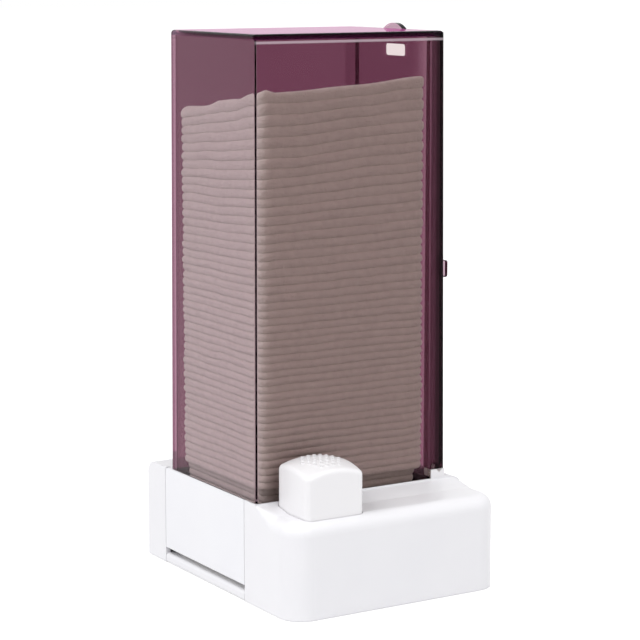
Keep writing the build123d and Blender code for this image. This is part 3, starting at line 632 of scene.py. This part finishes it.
nodeMaterials = {
    "shell": ["base_shell", "bottom_plate"],
    "panel": ["outlet_panel"],
    "lug": ["hinge_lugs"],
    "button": ["push_button"],
    "inner": ["magazine_chute", "gear_bracket", "pusher_rack", "pusher_blade", "pusher_guide_rail",
              "button_rack"],
    "gear": ["pinion_gear", "spur_gear"],
    "rubber": ["rubber_feet"],
    "steel": ["gear_shaft", "return_spring", "bottom_screws", "bracket_screws", "button_screws",
              "pusher_screws", "chute_screws"],
    "tinted": ["cover"],
    "door": ["refill_door", "door_pins"],
    "cotton": ["bottom_pad", "cotton_pads"],
}
for key, names in nodeMaterials.items():
    for name in names:
        setMaterial(nodes[name], materials[key])
print("materials made:", len(materials))

# cotton pads, in millimetres: the stack that the CAD solids stand for, bulging where the cover lets it
padValues = {
    "width": 49.3,
    "length": 59.7,
    "corner": 3.2,
    "thickness": 2.2,
    "firstHeight": 5.4,
    "pitch": 2.4,
    "topPitch": 2.8,
    "gap": -0.16,  # below nought: the pads press into each other
    "seat": 33.5,
    "chuteTop": 29.3,
    "stackTop": 155.0,
    "looseFrom": 89.0,
    "lowPlace": (-8.5, -6.65),
    "neckPlace": (-4.4, -4.6),
    "stackPlace": (-3.0, -4.75),
    "bulge": (51.5, 63.0),  # width and length in the cover
    "bulgeHeight": 3.5,
    "riseRight": 8.2,
    "riseBack": 4.2,
    "edgeRound": 1.0,
    "cornerSteps": 5,
    "edgeSteps": 4,
    "rows": (15, 19),
    "wander": 0.12,
    "turn": 0.2,  # degrees
    "softFrom": 2,  # above the seat
    "softOver": 12,
    "lumpsFrom": 144,
    "lumpsDepth": 14,
    "lumpsOver": 12,
    "layerStretch": (10, 10, 1),
    # label, size, strength, direction, weights, whether it follows the layers
    "waves": [
        ("settling", 14, 0.8, "Z", "soft", False),
        ("long waves", 24, 1.6, "Z", "loose", False),
        ("lumps", 6, 2.6, "Z", "top edge", False),
        ("uneven sides", 3, 0.4, "X", "soft", True),
        ("uneven ends", 3, 0.5, "Y", "soft", True),
        ("ragged sides", 5, 0.35, "X", "soft", False),
        ("ragged ends", 5, 0.45, "Y", "soft", False),
    ],
}


def ease(share):
    # 0 to 1 with a soft start and end
    share = min(1, max(0, share))
    return share * share * (3 - 2 * share)


def padPlace(values, z):
    # middle and size of the pad at this height
    lowX, lowY = values["lowPlace"]
    neckX, neckY = values["neckPlace"]
    x, y = values["stackPlace"]
    wide, long = values["bulge"]
    if z < values["seat"]:
        first = values["firstHeight"] - values["pitch"]
        share = min(1, (z - first) / (values["chuteTop"] - first))
        place = (lowX + (neckX - lowX) * share, lowY + (neckY - lowY) * share)
        return place, (values["width"], values["length"])
    full = ease((z - values["seat"]) / values["bulgeHeight"])
    place = (neckX + (x - neckX) * full, neckY + (y - neckY) * full)
    width = values["width"] + (wide - values["width"]) * full
    length = values["length"] + (long - values["length"]) * full
    return place, (width, length)


def looseShare(values, z):
    # 0 where the stack is pressed, 1 at its top
    return max(0, (z - values["looseFrom"]) / (values["stackTop"] - values["looseFrom"]))


def makePadBlank(values, name):
    # one pad: a rounded sheet with soft edges and rows to bend along
    half = (values["width"] / 2, values["length"] / 2)
    blank = addBox(name, (-half[0], -half[1], 0), (half[0], half[1], values["thickness"]))
    pickEdges(blank, lambda a, b: abs(a.x - b.x) + abs(a.y - b.y) < sameSpot)
    bpy.ops.mesh.bevel(offset=values["corner"] * mm, segments=values["cornerSteps"], affect="EDGES")
    leaveEdit()
    for axis in (0, 1):
        # the corners bring the first and the last row themselves
        straight = half[axis] - values["corner"]
        cutRows(blank, axis, spread(-straight, straight, values["rows"][axis] - 2))
    # rim edges lie between a side face and the upper or lower sheet
    pickFaces(blank, lambda face: abs(face.normal.z) > faceUp)
    bpy.ops.mesh.region_to_loop()
    bpy.ops.mesh.bevel(offset=values["edgeRound"] * mm, segments=values["edgeSteps"], affect="EDGES")
    leaveEdit()
    return blank


def copyPiece(piece):
    copy = piece.copy()
    copy.data = piece.data.copy()
    bpy.context.scene.collection.objects.link(copy)
    return copy


def weigh(piece, name, weight):
    # a vertex group whose weights follow the place in millimetres
    group = piece.vertex_groups.new(name=name)
    for vertex in piece.data.vertices:
        group.add([vertex.index], min(1, max(0, weight(vertex.co / mm))), "REPLACE")


def addShift(piece, label, strength, direction, group):
    # moves the mesh along an axis by its weights
    modifier = piece.modifiers.new(label, "DISPLACE")
    modifier.direction = direction
    modifier.strength = strength * mm
    modifier.mid_level = 0.0
    modifier.vertex_group = group
    return modifier


def addWaves(piece, label, size, strength, direction, group="", space=None):
    # moves the mesh to and fro with clouds, measured in the piece or in a helper
    texture = bpy.data.textures.new(label, "CLOUDS")
    texture.noise_scale = size * mm
    modifier = addShift(piece, label, strength, direction, group)
    modifier.mid_level = 0.5
    modifier.texture = texture
    modifier.texture_coords = "OBJECT" if space else "LOCAL"
    modifier.texture_coords_object = space


def addSpace(name, scale):
    # a helper whose scale stretches the waves that are measured in it
    bpy.ops.object.empty_add(location=(0, 0, 0))
    space = bpy.context.object
    space.name = name
    space.scale = scale
    return space


def layPads(values):
    # flat pads from the floor to the top, joined to one piece
    blank = makePadBlank(values, "padStack")
    copies = []
    z = values["firstHeight"]
    while z < values["stackTop"] - values["topPitch"] / 2:
        pitch = values["pitch"] + (values["topPitch"] - values["pitch"]) * looseShare(values, z)
        place, size = padPlace(values, z)
        wander = values["wander"] * ease((z - values["seat"]) / values["bulgeHeight"])
        x = place[0] + wander * random.uniform(-1, 1)
        y = place[1] + wander * random.uniform(-1, 1)
        pad = copyPiece(blank)
        pad.location = (x * mm, y * mm, z * mm)
        turn = random.uniform(-values["turn"], values["turn"])
        pad.rotation_euler = (0, 0, math.radians(turn))
        high = (pitch - values["gap"]) / values["thickness"]
        pad.scale = (size[0] / values["width"], size[1] / values["length"], high)
        copies.append(pad)
        z += pitch
    bpy.data.objects.remove(blank)
    makeActive(copies[0])
    for pad in copies:
        pad.select_set(True)
    bpy.ops.object.transform_apply(location=True, rotation=True, scale=True)
    bpy.ops.object.join()
    print("pads in the stack:", len(copies))
    return bpy.context.object


def makePadStack(values):
    stack = layPads(values)
    stack.name = "padStack"
    left = values["stackPlace"][0] - values["bulge"][0] / 2
    front = values["stackPlace"][1] - values["bulge"][1] / 2
    span = values["stackTop"] - values["seat"]
    softFrom = values["seat"] + values["softFrom"]
    lumpsBack = front + values["lumpsDepth"]
    over = values["lumpsOver"]
    weigh(stack, "soft", lambda co: ease((co.z - softFrom) / values["softOver"]))
    weigh(stack, "loose", lambda co: ease((co.z - values["seat"]) / span) ** 2)
    weigh(stack, "top edge",
          lambda co: ease((co.z - values["lumpsFrom"]) / over) * ease((lumpsBack - co.y) / over))
    weigh(stack, "right", lambda co: looseShare(values, co.z) ** 2 * (co.x - left) / values["bulge"][0])
    weigh(stack, "back", lambda co: looseShare(values, co.z) * (co.y - front) / values["bulge"][1])
    layers = addSpace("layer space", values["layerStretch"])
    for label, size, strength, direction, group, followsLayers in values["waves"]:
        addWaves(stack, label, size, strength, direction, group, layers if followsLayers else None)
    addShift(stack, "rise to the right", values["riseRight"], "Z", "right")
    addShift(stack, "rise to the back", values["riseBack"], "Z", "back")
    applyModifiers(stack)
    bpy.data.objects.remove(layers)
    makeActive(stack)
    bpy.ops.object.shade_smooth()
    setMaterial(stack, materials["cotton"])
    print("triangles in the stack:", sum(len(face.vertices) - 2 for face in stack.data.polygons))
    return stack


padStack = makePadStack(padValues)
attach(padStack, "base")
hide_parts("cotton_pads")


nextPadValues = {
    "height": 3.45,
    "press": 0.77,  # share of its thickness that is left under the stack
    "waveSize": 2.6,
    "waveStrength": 0.5,
}


def makeNextPad(padValues, values):
    pad = makePadBlank(padValues, "nextPad")
    x, y = padValues["lowPlace"]
    pad.location = (x * mm, y * mm, values["height"] * mm)
    pad.scale = (1, 1, values["press"])
    makeActive(pad)
    bpy.ops.object.transform_apply(location=True, rotation=True, scale=True)
    addWaves(pad, "next pad ends", values["waveSize"], values["waveStrength"], "Y")
    applyModifiers(pad)
    makeActive(pad)
    bpy.ops.object.shade_smooth()
    setMaterial(pad, materials["cotton"])
    return pad


nextPad = makeNextPad(padValues, nextPadValues)
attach(nextPad, "next_pad")
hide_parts("bottom_pad")
print("pads made")

# return spring, in millimetres, from its foot on the bottom plate
springValues = {
    "coilRadius": 3.6,
    "wire": 0.7,
    "turns": 9,
    "stepsPerTurn": 20,
    "wireSides": 8,
}


def makeSpring(values, low, high):
    # a wire's section wound up between the ends of the CAD spring
    wire = values["wire"] * mm
    deselectAll()
    bpy.ops.mesh.primitive_circle_add(
        vertices=values["wireSides"], radius=wire / 2, location=(values["coilRadius"] * mm, 0, 0),
        rotation=(math.radians(90), 0, 0))
    spring = bpy.context.object
    spring.name = "returnSpring"
    bpy.ops.object.transform_apply(location=True, rotation=True, scale=True)
    coil = spring.modifiers.new("coil", "SCREW")
    coil.axis = "Z"
    coil.screw_offset = (high[2] - low[2] - wire) / values["turns"]
    coil.iterations = values["turns"]
    coil.steps = values["stepsPerTurn"]
    coil.render_steps = values["stepsPerTurn"]
    applyModifiers(spring)
    bpy.ops.object.mode_set(mode="EDIT")
    bpy.ops.mesh.select_all(action="SELECT")
    bpy.ops.mesh.fill_holes(sides=0)
    bpy.ops.mesh.select_all(action="SELECT")
    bpy.ops.mesh.normals_make_consistent(inside=False)
    leaveEdit()
    spring.location = ((low[0] + high[0]) / 2, (low[1] + high[1]) / 2, low[2] + wire / 2)
    makeActive(spring)
    bpy.ops.object.transform_apply(location=True, rotation=True, scale=True)
    bpy.ops.object.shade_smooth()
    setMaterial(spring, materials["steel"])
    return spring


springLow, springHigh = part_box("return_spring")
returnSpring = makeSpring(springValues, springLow, springHigh)
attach(returnSpring, "base")
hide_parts("return_spring")
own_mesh(returnSpring)
print("return spring made")
